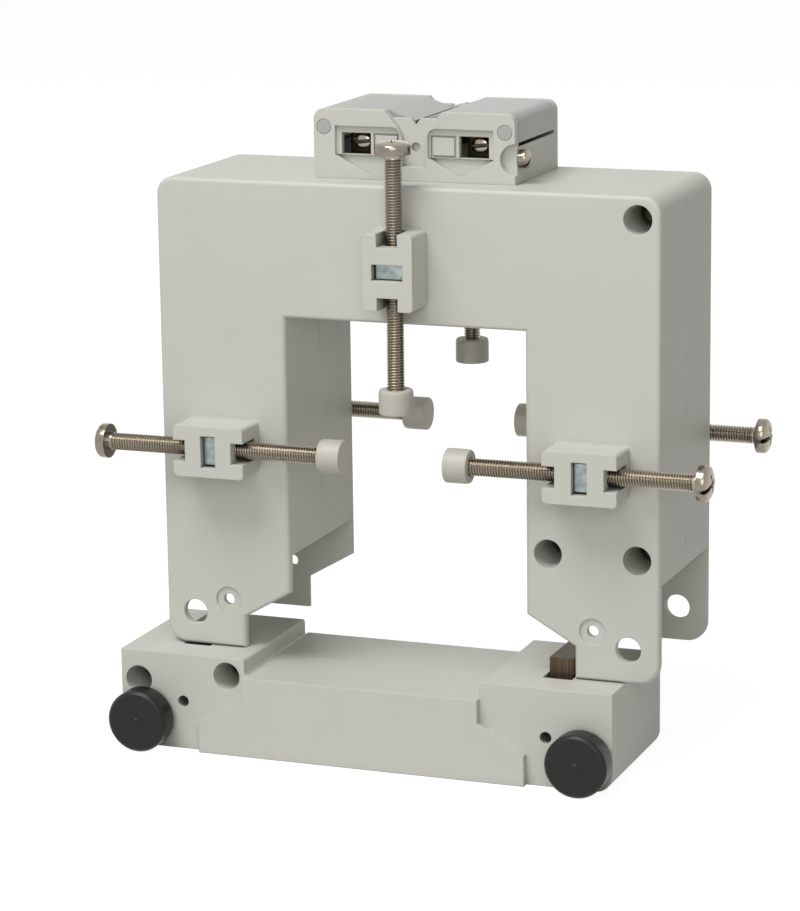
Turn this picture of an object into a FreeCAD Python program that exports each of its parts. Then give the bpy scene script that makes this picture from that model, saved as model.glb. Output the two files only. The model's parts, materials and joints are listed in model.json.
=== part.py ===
import FreeCAD, Part
import math
import os
import Sketcher
from FreeCAD import Placement, Rotation, Vector

# Split-core current transformer: a U-shaped upper housing stands on the closing bar that is
# taken off it. Millimetres. X runs along the bar, Y from the front to the rear, Z up.
# The origin is the centre of the bar's flat underside.

SIZES = [
    ("outer_width", 150, "width over both legs, and of the closing bar"),
    ("leg_width", 39, "width of one leg and of one end block"),
    ("top_height", 39, "height of the cross piece above the window"),
    ("leg_reach", 70, "height of the window's side above the leg's underside"),
    ("half_depth", 25.5, "depth of one half of the upper housing"),
    ("wall", 2.5, "moulded wall"),
    ("tab_thick", 2.5, "front plate and closing tab"),
    ("outer_radius", 5, "upright corners of the upper housing"),
    ("edge_radius", 1.2, "softened outline of the front plates"),
    ("bar_height", 28.5, "height of an end block, and how far the tabs hang down"),
    ("bar_step", 4.7, "drop from an end block's top to the middle's top"),
    ("step_radius", 0.8, "softened edges of that step"),
    ("seam", 0.25, "bevel along the parting plane of two halves"),
    ("bar_radius", 5, "lower corners of the closing bar"),
    ("tab_width", 24.7, "width of a tab at its foot"),
    ("tab_shoulder", 9.4, "height of a tab's upright inner side"),
    ("tab_slope_top", 17.6, "height where a tab's slope meets the leg's inner side"),
    ("tab_radius", 6, "outer foot corner of a tab"),
    ("tab_play", 0.5, "play between a tab and the raised pad of the bar"),
    ("shift_x", 10, "how far the upper housing stands to the right of the bar's centre"),
    ("shift_y", 14, "how far the upper housing stands behind the bar's centre"),
    ("stud_in", 9, "closing hole in a tab, from the outer side"),
    ("stud_up", 9.8, "closing hole in a tab, above the tab's foot"),
    ("knob_in", 8.2, "thumb knob, from the bar's end"),
    ("knob_up", 9.3, "thumb knob, above the bar's underside"),
    ("stud_hole_r", 3.7, "closing hole in a tab"),
    ("seal_in", 19.5, "seal hole, from the outer side"),
    ("seal_up", 14.2, "seal hole, above the bar's underside"),
    ("seal_hole_r", 1.7, "seal hole"),
    ("seal_sink_r", 3.8, "shallow sinking round the seal hole"),
    ("seal_sink_deep", 0.6, "depth of that sinking"),
    ("seal_hole_deep", 8, "blind seal hole in the bar"),
    ("entry_in", 6.5, "housing screw, from the side or top of the housing"),
    ("entry_up", 7.2, "lower housing screws, above the leg's underside"),
    ("entry_r", 4.1, "screw well"),
    ("entry_deep", 18, "depth of a screw well in the upper housing"),
    ("boss_wall", 1.3, "wall round a screw well"),
    ("bar_entry_deep", 15, "depth of a screw well in the bar"),
    ("bar_outer_in", 5.5, "outer housing screw of the bar, from the end"),
    ("bar_outer_up", 19.6, "outer housing screw of the bar, above the underside"),
    ("bar_inner_in", 33.4, "inner housing screw of the bar, from the end"),
    ("bar_inner_up", 23, "inner housing screw of the bar, above the underside"),
    ("joint_screw_r", 2, "housing screw"),
    ("joint_screw_long", 15, "housing screw under its head"),
    ("joint_head_r", 3.6, "housing screw's head"),
    ("joint_head_high", 2.6, "height of the housing screw's head"),
    ("screw_play", 0.2, "radial play of a housing screw in its clearance hole"),
    ("pilot_play", 0.05, "radial play of a housing screw in its pilot hole"),
    ("pilot_deep", 12, "depth of a pilot hole"),
    ("bracket_wide", 15, "nut bracket across the clamp screw"),
    ("bracket_long", 21.6, "nut bracket along the clamp screw"),
    ("bracket_out", 12, "how far a nut bracket stands out"),
    ("bracket_up", 32.1, "centre of a leg's bracket above the leg's underside"),
    ("bracket_top_up", 16.5, "centre of the top bracket above the window"),
    ("bracket_radius", 1.2, "softened corners of a bracket"),
    ("notch_wide", 6.2, "open notch at both ends of a bracket"),
    ("notch_long", 3.7, "length of such a notch"),
    ("nut_across", 8, "square nut across its flats"),
    ("nut_high", 4, "thickness of the square nut"),
    ("nut_play", 0.25, "play of the nut along its screw, each side"),
    ("nut_side_play", 0.6, "play of the nut across its screw, each side"),
    ("clamp_r", 2.5, "clamp screw, M5"),
    ("clamp_play", 0.05, "radial play of the clamp screw in its nut"),
    ("clamp_bore_play", 0.4, "radial play of the clamp screw in its bracket"),
    ("clamp_long", 70, "clamp screw under its head"),
    ("clamp_head_r", 5, "clamp screw's head"),
    ("clamp_head_high", 3.7, "height of the clamp screw's head"),
    ("cap_r", 4.9, "pressure cap on a clamp screw"),
    ("cap_long", 7, "length of the pressure cap"),
    ("cap_socket", 4, "how deep the screw sits in its cap"),
    ("front_left_out", 14, "head of the front left clamp screw, out from the leg"),
    ("front_right_out", 13, "head of the front right clamp screw, out from the leg"),
    ("front_top_out", 9.8, "head of the front top clamp screw, above the housing"),
    ("rear_left_out", 12, "head of the rear left clamp screw, out from the leg"),
    ("rear_right_out", 12.5, "head of the rear right clamp screw, out from the leg"),
    ("rear_top_out", 12.9, "head of the rear top clamp screw, above the housing"),
    ("core_thick", 7, "build of the wound strip core"),
    ("core_deep", 17.4, "width of the core's strip"),
    ("core_corner", 9, "outer corner of the core"),
    ("core_inner_corner", 2, "inner corner of the core"),
    ("core_rise", 5, "how far the bar's core ends stand above the end blocks"),
    ("core_gap", 0.3, "air gap left between the closed core ends"),
    ("core_play", 0.3, "play between core and bobbin or rib"),
    ("yoke_up", 11.9, "middle of the bar's core above the underside"),
    ("mouth_side", 0.8, "play beside a core end in the housing's mouth"),
    ("mouth_half", 12.5, "half depth of the mouth round a core end"),
    ("bobbin_low", 15.5, "lower flange of a bobbin above the leg's underside"),
    ("bobbin_long", 51, "length of a bobbin"),
    ("bobbin_wall", 1, "wall of a bobbin's tube"),
    ("flange_thick", 1.2, "flange of a bobbin"),
    ("winding_thick", 8, "build of a winding"),
    ("insert_r", 4, "threaded insert"),
    ("insert_long", 9, "length of a threaded insert"),
    ("knob_r", 9.1, "thumb knob"),
    ("knob_long", 7, "length of the knob's drum"),
    ("knob_face_r", 8.3, "front face of the knob"),
    ("knob_bevel", 1, "length of the bevel round the knob's face"),
    ("collar_r", 4.6, "collar behind the knob's drum"),
    ("collar_long", 1.8, "length of the collar"),
    ("collar_gap", 0.2, "gap between the collar and the bar"),
    ("nub_r", 1.2, "centre nub of the knob"),
    ("nub_high", 0.4, "height of the centre nub"),
    ("stud_r", 2.5, "closing stud, M5"),
    ("stud_grip", 5, "how deep the stud is moulded into the knob"),
    ("stud_reach", 8, "how deep the stud goes into the bar"),
    ("block_wide", 60, "terminal block"),
    ("block_front", 10, "terminal block's front, behind the housing's front"),
    ("block_deep", 37.4, "depth of the terminal block"),
    ("block_high", 19.7, "height of the terminal block's hoods"),
    ("block_floor", 4, "floor of the terminal block"),
    ("block_sill", 9, "inner walls of the terminal block"),
    ("block_wall", 3, "front and rear wall of the terminal block"),
    ("block_side", 2.2, "side wall of the terminal block"),
    ("side_high", 11.6, "side wall's height"),
    ("web_high", 17.6, "web between the hoods"),
    ("web_back", 2, "how far the web stands behind the hoods' faces"),
    ("web_notch_half", 1.5, "half width of the notch in the web's top"),
    ("web_notch_low", 15.6, "foot of that notch"),
    ("hood_inner", 8.6, "inner top corner of a hood, from the middle"),
    ("hood_waist", 5, "middle of a hood's inner slope, from the middle"),
    ("hood_waist_up", 15.4, "height of that point"),
    ("hood_foot", 3.6, "upright inner side of a hood, from the middle"),
    ("hood_foot_up", 12.4, "where that side meets the slope"),
    ("hood_corner", 3, "rounded outer top corner of a hood"),
    ("spine_half", 2, "half thickness of the wall between the bays"),
    ("spine_high", 15, "height of that wall"),
    ("recess_near", 4.2, "front recess, from the middle"),
    ("recess_far", 23.6, "far end of the front recess"),
    ("recess_low", 6.7, "underside of the front recess"),
    ("recess_corner", 2, "rounded inner top corner of the front recess"),
    ("recess_high", 14.9, "top of the front recess"),
    ("recess_deep", 1.1, "depth of the front recess"),
    ("mouth_near", 13.2, "terminal mouth, from the middle"),
    ("mouth_far", 22, "far end of the terminal mouth"),
    ("mouth_low", 6.9, "underside of the terminal mouth"),
    ("mouth_high", 13, "top of the terminal mouth"),
    ("tile_near", 4.8, "tile beside the mouth, from the middle"),
    ("tile_far", 11.8, "far end of the tile"),
    ("tile_groove", 0.5, "groove round the tile"),
    ("leadin_foot", 1.6, "foot of the wedge below a recess"),
    ("leadin_deep", 2, "depth of that wedge"),
    ("pry_hole_r", 1.3, "round hole between the bays"),
    ("pry_hole_up", 9.4, "height of that hole"),
    ("pivot_in", 3, "cover pivot, from the block's side"),
    ("pivot_up", 14.5, "cover pivot, above the block's foot"),
    ("pivot_r", 2.1, "cover pivot"),
    ("pivot_play", 0.08, "radial play of the cover pivot"),
    ("cover_thick", 1.5, "wall of a terminal cover"),
    ("cover_skirt", 11.5, "lower edge of a cover's skirt, above the block's foot"),
    ("cover_gap", 0.4, "gap between a cover and the block"),
    ("cover_inner", 0.5, "inner edge of a cover, from the middle"),
    ("cover_dip", 2.9, "how far that edge lies below the cover's top"),
    ("groove_r", 5, "turning room round a cover's pivot"),
    ("clamp_body_wide", 8.2, "terminal clamp"),
    ("clamp_body_high", 6.6, "height of a terminal clamp"),
    ("clamp_body_deep", 9, "depth of a terminal clamp"),
    ("clamp_body_back", 7.5, "terminal clamp, behind the block's front"),
    ("wire_hole_r", 1.8, "wire hole of a terminal clamp"),
    ("terminal_screw_r", 1.5, "terminal screw"),
    ("terminal_head_r", 2.7, "terminal screw's head"),
    ("terminal_head_high", 2, "height of the terminal screw's head"),
    ("terminal_screw_long", 6, "terminal screw under its head"),
    ("fixing_back", 4, "side fixing screw, behind the block's front"),
    ("fixing_up", 7, "side fixing screw, above the block's foot"),
    ("fixing_r", 1.5, "side fixing screw"),
    ("fixing_head_r", 2.6, "side fixing screw's head"),
    ("fixing_head_high", 3.2, "height of the side fixing screw's head"),
    ("fixing_long", 7, "side fixing screw under its head"),
    ("scoop_r", 4.4, "hollow in front of the side fixing screw"),
    ("scoop_deep", 2, "depth of that hollow"),
    ("lead_slot_half", 20, "half length of the lead slot in the housing's top"),
    ("lead_slot_deep", 6, "lead slot, in front of and behind the joint"),
    ("rib_thick", 2, "cradle rib of the bar"),
    ("rib_at", 20, "cradle rib, from the middle"),
    ("slot_wide", 1.2, "screwdriver slot"),
    ("slot_deep", 1.6, "depth of a screwdriver slot"),
]

doc = FreeCAD.newDocument("current_transformer")


def make_sheet():
    sheet = doc.addObject("Spreadsheet::Sheet", "Sizes")
    for row, (name, value, note) in enumerate(SIZES, start=1):
        sheet.set("A%d" % row, name)
        sheet.set("B%d" % row, str(value))
        sheet.set("C%d" % row, note)
        sheet.setAlias("B%d" % row, name)
    doc.recompute()
    return sheet


SHEET = make_sheet()


class Size:
    """A length together with the sheet formula that gives it."""

    def __init__(self, value, text):
        self.value = float(value)
        self.text = text

    def join(self, other, sign, value):
        return Size(value, "(%s %s %s)" % (self.text, sign, other.text))

    def __add__(self, other):
        other = size(other)
        return self.join(other, "+", self.value + other.value)

    def __radd__(self, other):
        return size(other) + self

    def __sub__(self, other):
        other = size(other)
        return self.join(other, "-", self.value - other.value)

    def __rsub__(self, other):
        return size(other) - self

    def __mul__(self, other):
        other = size(other)
        return self.join(other, "*", self.value * other.value)

    def __rmul__(self, other):
        return size(other) * self

    def __truediv__(self, other):
        other = size(other)
        return self.join(other, "/", self.value / other.value)

    def __neg__(self):
        return Size(-self.value, "(0 - %s)" % self.text)


def size(number):
    return number if isinstance(number, Size) else Size(number, repr(float(number)))


def cell(name):
    return Size(SHEET.get(name), "Sizes.%s" % name)


# Sketches and features

def origin_item(body, role):
    return next(item for item in body.Origin.OriginFeatures if item.Role == role)


def new_body(name):
    body = doc.addObject("PartDesign::Body", name)
    body.Label = name
    return body


def pin_point(sketch, geometry, position, x, y):
    """Ties one point of a sketch to two formulas."""
    for value, kind, axis in ((x, "DistanceX", -2), (y, "DistanceY", -1)):
        if abs(value.value) < 1e-9:
            sketch.addConstraint(Sketcher.Constraint("PointOnObject", geometry, position, axis))
            continue
        number = sketch.addConstraint(
            Sketcher.Constraint(kind, -1, 1, geometry, position, value.value))
        sketch.setExpression("Constraints[%d]" % number, value.text)


def add_polygon(sketch, points):
    points = [(size(x), size(y)) for x, y in points]
    corners = [Vector(x.value, y.value, 0) for x, y in points]
    first = sketch.GeometryCount
    count = len(corners)
    for i in range(count):
        sketch.addGeometry(Part.LineSegment(corners[i], corners[(i + 1) % count]), False)
    for i in range(count):
        following = first + (i + 1) % count
        sketch.addConstraint(Sketcher.Constraint("Coincident", first + i, 2, following, 1))
    for i, (x, y) in enumerate(points):
        pin_point(sketch, first + i, 1, x, y)


def add_circle(sketch, x, y, radius):
    x, y, radius = size(x), size(y), size(radius)
    circle = Part.Circle(Vector(x.value, y.value, 0), Vector(0, 0, 1), radius.value)
    number = sketch.addGeometry(circle, False)
    pin_point(sketch, number, 3, x, y)
    bound = sketch.addConstraint(Sketcher.Constraint("Radius", number, radius.value))
    sketch.setExpression("Constraints[%d]" % bound, radius.text)


def rectangle(x0, x1, y0, y1):
    return [(x0, y0), (x1, y0), (x1, y1), (x0, y1)]


def new_sketch(body, name, role, offset, loops):
    """A sketch on one of the body's origin planes, moved along the plane's normal."""
    sketch = body.newObject("Sketcher::SketchObject", name + "_sketch")
    sketch.AttachmentSupport = (origin_item(body, role), "")
    sketch.MapMode = "FlatFace"
    offset = size(offset)
    sketch.AttachmentOffset = Placement(Vector(0, 0, offset.value), Rotation())
    sketch.setExpression(".AttachmentOffset.Base.z", offset.text)
    for loop in loops:
        if len(loop) == 3 and not isinstance(loop[0], tuple):
            add_circle(sketch, *loop)
        else:
            add_polygon(sketch, loop)
    return sketch


def extrude(kind, body, name, role, offset, length, loops, backwards):
    length = size(length)
    before = body.Shape.Volume if body.Tip else 0.0
    sketch = new_sketch(body, name, role, offset, loops)
    feature = body.newObject(kind, name)
    feature.Profile = sketch
    feature.Length = length.value
    feature.setExpression("Length", length.text)
    feature.Reversed = backwards
    doc.recompute()
    after = body.Shape.Volume
    grew = after > before + 1e-6
    if grew != (kind == "PartDesign::Pad") or abs(after - before) < 1e-6:
        raise RuntimeError("%s of %s changed the volume from %g to %g" %
                           (name, body.Name, before, after))
    return feature


def pad_y(body, name, start, length, loops):
    """Adds loops drawn in X and Z, from Y = start towards the rear."""
    return extrude("PartDesign::Pad", body, name, "XZ_Plane", -size(start), length, loops, True)


def cut_y(body, name, start, length, loops):
    """Cuts loops drawn in X and Z, from Y = start towards the rear."""
    return extrude("PartDesign::Pocket", body, name, "XZ_Plane", -size(start), length, loops, False)


def pad_z(body, name, start, length, loops):
    return extrude("PartDesign::Pad", body, name, "XY_Plane", start, length, loops, False)


def cut_z(body, name, start, length, loops):
    """Cuts loops drawn in X and Y, from Z = start upwards."""
    return extrude("PartDesign::Pocket", body, name, "XY_Plane", start, length, loops, True)


def cut_x(body, name, start, length, loops):
    """Cuts loops drawn in Y and Z, from X = start to the right."""
    return extrude("PartDesign::Pocket", body, name, "YZ_Plane", start, length, loops, True)


def revolve(body, name, points):
    """Turns a profile of radius and height about the body's Z axis."""
    sketch = new_sketch(body, name, "XZ_Plane", 0, [points])
    feature = body.newObject("PartDesign::Revolution", name)
    feature.Profile = sketch
    feature.ReferenceAxis = (sketch, ["V_Axis"])
    feature.Angle = 360
    doc.recompute()
    return feature


def round_edges(body, name, radius, wanted):
    """Rounds each edge of the body's tip that the wanted test picks."""
    base = body.Tip
    names = ["Edge%d" % (i + 1) for i, edge in enumerate(base.Shape.Edges) if wanted(edge)]
    if not names:
        raise RuntimeError("no edge to round for %s of %s" % (name, body.Name))
    fillet = body.newObject("PartDesign::Fillet", name)
    fillet.Base = (base, names)
    fillet.Radius = radius.value
    fillet.setExpression("Radius", radius.text)
    doc.recompute()
    return fillet


def bevel_edges(body, name, width, wanted):
    """Bevels each edge of the body's tip that the wanted test picks."""
    base = body.Tip
    names = ["Edge%d" % (i + 1) for i, edge in enumerate(base.Shape.Edges) if wanted(edge)]
    if not names:
        raise RuntimeError("no edge to bevel for %s of %s" % (name, body.Name))
    bevel = body.newObject("PartDesign::Chamfer", name)
    bevel.Base = (base, names)
    bevel.Size = width.value
    bevel.setExpression("Size", width.text)
    doc.recompute()
    return bevel


def lying_at(y):
    """Picks edges that lie wholly at one depth."""
    depth = size(y).value
    return lambda edge: all(abs(v.Point.y - depth) < 0.01 for v in edge.Vertexes)


def upright_at(places, near=0.01):
    """Picks edges that run along Y at one of the given X and Z places."""
    spots = [(size(x).value, size(z).value) for x, z in places]

    def wanted(edge):
        ends = [vertex.Point for vertex in edge.Vertexes]
        if len(ends) < 2 or abs(ends[0].y - ends[-1].y) < near:
            return False
        return any(all(abs(end.x - x) < near and abs(end.z - z) < near for end in ends)
                   for x, z in spots)
    return wanted


def place(item, x, y, z, rotation=None):
    x, y, z = size(x), size(y), size(z)
    item.Placement = Placement(Vector(x.value, y.value, z.value), rotation or Rotation())
    for axis, value in (("x", x), ("y", y), ("z", z)):
        item.setExpression(".Placement.Base.%s" % axis, value.text)
    return item


HALF_TURN = Rotation(Vector(0, 0, 1), 180)
TO_RIGHT = Rotation(Vector(0, 1, 0), 90)
TO_LEFT = Rotation(Vector(0, 1, 0), -90)
TO_REAR = Rotation(Vector(1, 0, 0), -90)
TO_FRONT = Rotation(Vector(1, 0, 0), 90)
DOWNWARDS = Rotation(Vector(1, 0, 0), 180)


# Primitives

def cylinder(name, radius, length):
    item = doc.addObject("Part::Cylinder", name)
    item.setExpression("Radius", size(radius).text)
    item.setExpression("Height", size(length).text)
    return item


def block(name, wide, deep, high):
    item = doc.addObject("Part::Box", name)
    item.setExpression("Length", size(wide).text)
    item.setExpression("Width", size(deep).text)
    item.setExpression("Height", size(high).text)
    return item


def without(name, base, tool):
    item = doc.addObject("Part::Cut", name)
    item.Base = base
    item.Tool = tool
    return item


def together(name, members):
    item = doc.addObject("Part::Compound", name)
    item.Label = name
    item.Links = members
    return item


def copy_of(name, pattern):
    """One more piece of the pattern's shape, free to be placed by itself."""
    return together(name, [pattern])


# Places that several pieces share

HALF = cell("outer_width") / 2
LEG_INNER = HALF - cell("leg_width")
TAB_DROP = cell("bar_height")
WINDOW_TOP = TAB_DROP + cell("leg_reach")
HOUSING_TOP = WINDOW_TOP + cell("top_height")
FACE = -cell("half_depth")
BAR_HALF = cell("half_depth") - cell("tab_thick")
BAR_FACE = -BAR_HALF
LEG_MIDDLE = HALF - cell("leg_width") / 2
SCREW_OUT = cell("bracket_out") / 2
BRACKET_Z = TAB_DROP + cell("bracket_up")
BRACKET_TOP_Z = WINDOW_TOP + cell("bracket_top_up")
BOSS_R = cell("entry_r") + cell("boss_wall")
UPPER_ENTRIES = [
    (HALF - cell("entry_in"), HOUSING_TOP - cell("entry_in")),
    (HALF - cell("entry_in"), TAB_DROP + cell("entry_up")),
    (LEG_INNER + cell("entry_in"), TAB_DROP + cell("entry_up")),
]
BAR_ENTRIES = [
    (-HALF + cell("bar_outer_in"), cell("bar_outer_up")),
    (-HALF + cell("bar_inner_in"), cell("bar_inner_up")),
]


def mirrored(places):
    return [(-x, z) for x, z in places]


def circles(places, radius):
    return [(x, z, radius) for x, z in places]


# Upper housing: both halves come from one mould, the rear one turned half round

def front_plate_outline():
    tab_inner = HALF - cell("tab_width")
    left = [
        (-HALF, 0), (-tab_inner, 0), (-tab_inner, cell("tab_shoulder")),
        (-LEG_INNER, cell("tab_slope_top")), (-LEG_INNER, WINDOW_TOP),
    ]
    right = [(-size(x), z) for x, z in reversed(left)]
    return left + right + [(HALF, HOUSING_TOP), (-HALF, HOUSING_TOP)]


def housing_outline(inset):
    """The U of the housing, moved inwards by the inset."""
    low = TAB_DROP + inset
    inner = LEG_INNER + inset
    outer = HALF - inset
    return [
        (-outer, low), (-inner, low), (-inner, WINDOW_TOP + inset), (inner, WINDOW_TOP + inset),
        (inner, low), (outer, low), (outer, HOUSING_TOP - inset), (-outer, HOUSING_TOP - inset),
    ]


def add_bracket(body, name, x, z, along_x):
    """A nut bracket: an upright block with a bore, a window for the square nut and two notches."""
    wide, long = cell("bracket_wide") / 2, cell("bracket_long") / 2
    half_x, half_z = (long, wide) if along_x else (wide, long)
    out = cell("bracket_out")
    start = FACE - out
    pad_y(body, name, start, out, [rectangle(x - half_x, x + half_x, z - half_z, z + half_z)])
    corners = [(x + half_x * sx, z + half_z * sz) for sx in (1, -1) for sz in (1, -1)]
    round_edges(body, name + "_corners", cell("bracket_radius"), upright_at(corners))

    def across(near, far, half):
        """A rectangle from near to far along the screw, half wide to each side of it."""
        if along_x:
            return rectangle(x + near, x + far, z - half, z + half)
        return rectangle(x - half, x + half, z + near, z + far)

    seat = cell("nut_high") / 2 + cell("nut_play")
    seat_deep = SCREW_OUT + cell("nut_across") / 2 + cell("nut_play")
    seat_half = cell("nut_across") / 2 + cell("nut_side_play")
    cut_y(body, name + "_seat", start, seat_deep, [across(-seat, seat, seat_half)])
    bore = cell("clamp_r") + cell("clamp_bore_play")
    notch = long - cell("notch_long")
    cut_y(body, name + "_notches", start, SCREW_OUT + bore,
          [across(-long, -notch, cell("notch_wide") / 2), across(notch, long, cell("notch_wide") / 2)])
    middle = FACE - SCREW_OUT
    if along_x:
        cut_x(body, name + "_bore", x - long, long * 2, [(middle, z, bore)])
    else:
        cut_z(body, name + "_bore", z - long, long * 2, [(x, middle, bore)])


def upper_shell(name):
    body = new_body(name)
    plate = cell("tab_thick")
    pad_y(body, "plate", FACE, plate, [front_plate_outline()])
    round_edges(body, "tab_feet", cell("tab_radius"), upright_at([(-HALF, 0), (HALF, 0)]))
    pad_y(body, "walls", FACE + plate, cell("half_depth") - plate, [housing_outline(size(0))])
    round_edges(body, "shoulders", cell("outer_radius"),
                upright_at([(-HALF, HOUSING_TOP), (HALF, HOUSING_TOP)]))
    round_edges(body, "soft_outline", cell("edge_radius"), lying_at(FACE))
    bevel_edges(body, "seam", cell("seam"), lying_at(0))
    cut_y(body, "cavity", FACE + plate, cell("half_depth") - plate, [housing_outline(cell("wall"))])
    bosses = circles(UPPER_ENTRIES + mirrored(UPPER_ENTRIES), BOSS_R)
    pad_y(body, "bosses", FACE + plate, cell("half_depth") - plate, bosses)
    cut_y(body, "screw_wells", FACE, cell("entry_deep"), circles(UPPER_ENTRIES, cell("entry_r")))
    clearance = cell("joint_screw_r") + cell("screw_play")
    cut_y(body, "screw_holes", FACE, cell("half_depth"), circles(UPPER_ENTRIES, clearance))
    pilot = cell("joint_screw_r") + cell("pilot_play")
    cut_y(body, "pilot_holes", -cell("pilot_deep"), cell("pilot_deep"),
          circles(mirrored(UPPER_ENTRIES), pilot))
    stud = [(HALF - cell("stud_in"), cell("stud_up"))]
    seal = [(HALF - cell("seal_in"), cell("seal_up"))]
    cut_y(body, "stud_holes", FACE, plate, circles(stud + mirrored(stud), cell("stud_hole_r")))
    cut_y(body, "seal_sinkings", FACE, cell("seal_sink_deep"),
          circles(seal + mirrored(seal), cell("seal_sink_r")))
    cut_y(body, "seal_holes", FACE, plate, circles(seal + mirrored(seal), cell("seal_hole_r")))
    mouth_x = cell("core_thick") / 2 + cell("mouth_side")
    for side, x in (("left", -LEG_MIDDLE), ("right", LEG_MIDDLE)):
        cut_y(body, side + "_core_mouth", -cell("mouth_half"), cell("mouth_half"),
              [rectangle(x - mouth_x, x + mouth_x, TAB_DROP, TAB_DROP + cell("wall"))])
    cut_y(body, "lead_slot", -cell("lead_slot_deep"), cell("lead_slot_deep"),
          [rectangle(-cell("lead_slot_half"), cell("lead_slot_half"),
                     HOUSING_TOP - cell("wall"), HOUSING_TOP)])
    add_bracket(body, "left_bracket", -LEG_MIDDLE, BRACKET_Z, True)
    add_bracket(body, "right_bracket", LEG_MIDDLE, BRACKET_Z, True)
    add_bracket(body, "top_bracket", size(0), BRACKET_TOP_Z, False)
    return body


# Closing bar: again two halves from one mould

def bar_outline():
    step = cell("bar_height") - cell("bar_step")
    return [
        (-HALF, 0), (HALF, 0), (HALF, cell("bar_height")), (LEG_INNER, cell("bar_height")),
        (LEG_INNER, step), (-LEG_INNER, step), (-LEG_INNER, cell("bar_height")),
        (-HALF, cell("bar_height")),
    ]


def bar_pad_outline():
    """The raised pad that fills the room between the tabs of the closed housing."""
    foot = HALF - cell("tab_width") - cell("tab_play")
    left = [
        (-foot, 0), (-foot, cell("tab_shoulder") - cell("tab_play")),
        (-LEG_INNER, cell("tab_slope_top") - cell("tab_play")),
        (-LEG_INNER, cell("bar_height") - cell("bar_step")),
    ]
    return left + [(-size(x), z) for x, z in reversed(left)]


def bar_cavity():
    wall = cell("wall")
    outer = HALF - wall
    inner = LEG_INNER + wall
    top = cell("bar_height") - wall
    middle = top - cell("bar_step")
    bevel = cell("bar_radius") - wall
    return [
        (-outer + bevel, wall), (outer - bevel, wall), (outer, wall + bevel), (outer, top),
        (inner, top), (inner, middle), (-inner, middle), (-inner, top), (-outer, top),
        (-outer, wall + bevel),
    ]


def bar_shell(name):
    body = new_body(name)
    wall = cell("wall")
    pad_y(body, "walls", BAR_FACE, BAR_HALF, [bar_outline()])
    round_edges(body, "lower_corners", cell("bar_radius"), upright_at([(-HALF, 0), (HALF, 0)]))
    step = cell("bar_height") - cell("bar_step")
    step_edges = [(x, z) for x in (-LEG_INNER, LEG_INNER) for z in (step, cell("bar_height"))]
    round_edges(body, "step_edges", cell("step_radius"), upright_at(step_edges))
    bevel_edges(body, "seam", cell("seam"), lying_at(0))
    pad_y(body, "raised_pad", FACE, cell("tab_thick"), [bar_pad_outline()])
    depth = BAR_HALF - wall
    inside = BAR_FACE + wall
    cut_y(body, "cavity", inside, depth, [bar_cavity()])
    bosses = circles(BAR_ENTRIES + mirrored(BAR_ENTRIES), BOSS_R)
    pad_y(body, "bosses", inside, depth, bosses)
    stud = [(HALF - cell("knob_in"), cell("knob_up"))]
    seal = [(HALF - cell("seal_in"), cell("seal_up"))]
    insert_boss = cell("insert_r") + cell("boss_wall")
    pad_y(body, "insert_bosses", inside, cell("insert_long"), circles(stud + mirrored(stud), insert_boss))
    seal_boss = cell("seal_hole_r") + cell("boss_wall")
    pad_y(body, "seal_bosses", inside, cell("seal_hole_deep") - wall / 2,
          circles(seal + mirrored(seal), seal_boss))
    add_cradle_ribs(body, inside, depth)
    cut_y(body, "screw_wells", BAR_FACE, cell("bar_entry_deep"), circles(BAR_ENTRIES, cell("entry_r")))
    clearance = cell("joint_screw_r") + cell("screw_play")
    cut_y(body, "screw_holes", BAR_FACE, BAR_HALF, circles(BAR_ENTRIES, clearance))
    pilot = cell("joint_screw_r") + cell("pilot_play")
    cut_y(body, "pilot_holes", -cell("pilot_deep"), cell("pilot_deep"),
          circles(mirrored(BAR_ENTRIES), pilot))
    cut_y(body, "insert_holes", BAR_FACE, cell("insert_long"),
          circles(stud + mirrored(stud), cell("insert_r")))
    cut_y(body, "seal_holes", BAR_FACE, cell("seal_hole_deep"),
          circles(seal + mirrored(seal), cell("seal_hole_r")))
    mouth_x = cell("core_thick") / 2 + cell("mouth_side")
    for side, x in (("left", -LEG_MIDDLE), ("right", LEG_MIDDLE)):
        cut_y(body, side + "_core_mouth", -cell("mouth_half"), cell("mouth_half"),
              [rectangle(x - mouth_x, x + mouth_x, cell("bar_height") - wall, cell("bar_height"))])
    return body


def add_cradle_ribs(body, inside, depth):
    """Two ribs that hold the core: whole in front of it, and split to let it through."""
    half = cell("rib_thick") / 2
    low, high = cell("wall"), cell("bar_height") - cell("bar_step") - cell("wall")
    core_low = cell("yoke_up") - cell("core_thick") / 2 - cell("core_play")
    core_high = cell("yoke_up") + cell("core_thick") / 2 + cell("core_play")
    core_front = cell("core_deep") / 2 + cell("core_play")
    ribs = [-cell("rib_at"), cell("rib_at")]
    pad_y(body, "rib_fronts", inside, depth - core_front,
          [rectangle(x - half, x + half, low, high) for x in ribs])
    lower = [rectangle(x - half, x + half, low, core_low) for x in ribs]
    upper = [rectangle(x - half, x + half, core_high, high) for x in ribs]
    pad_y(body, "rib_arms", -core_front, core_front, lower + upper)


# Core, bobbins and windings

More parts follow.
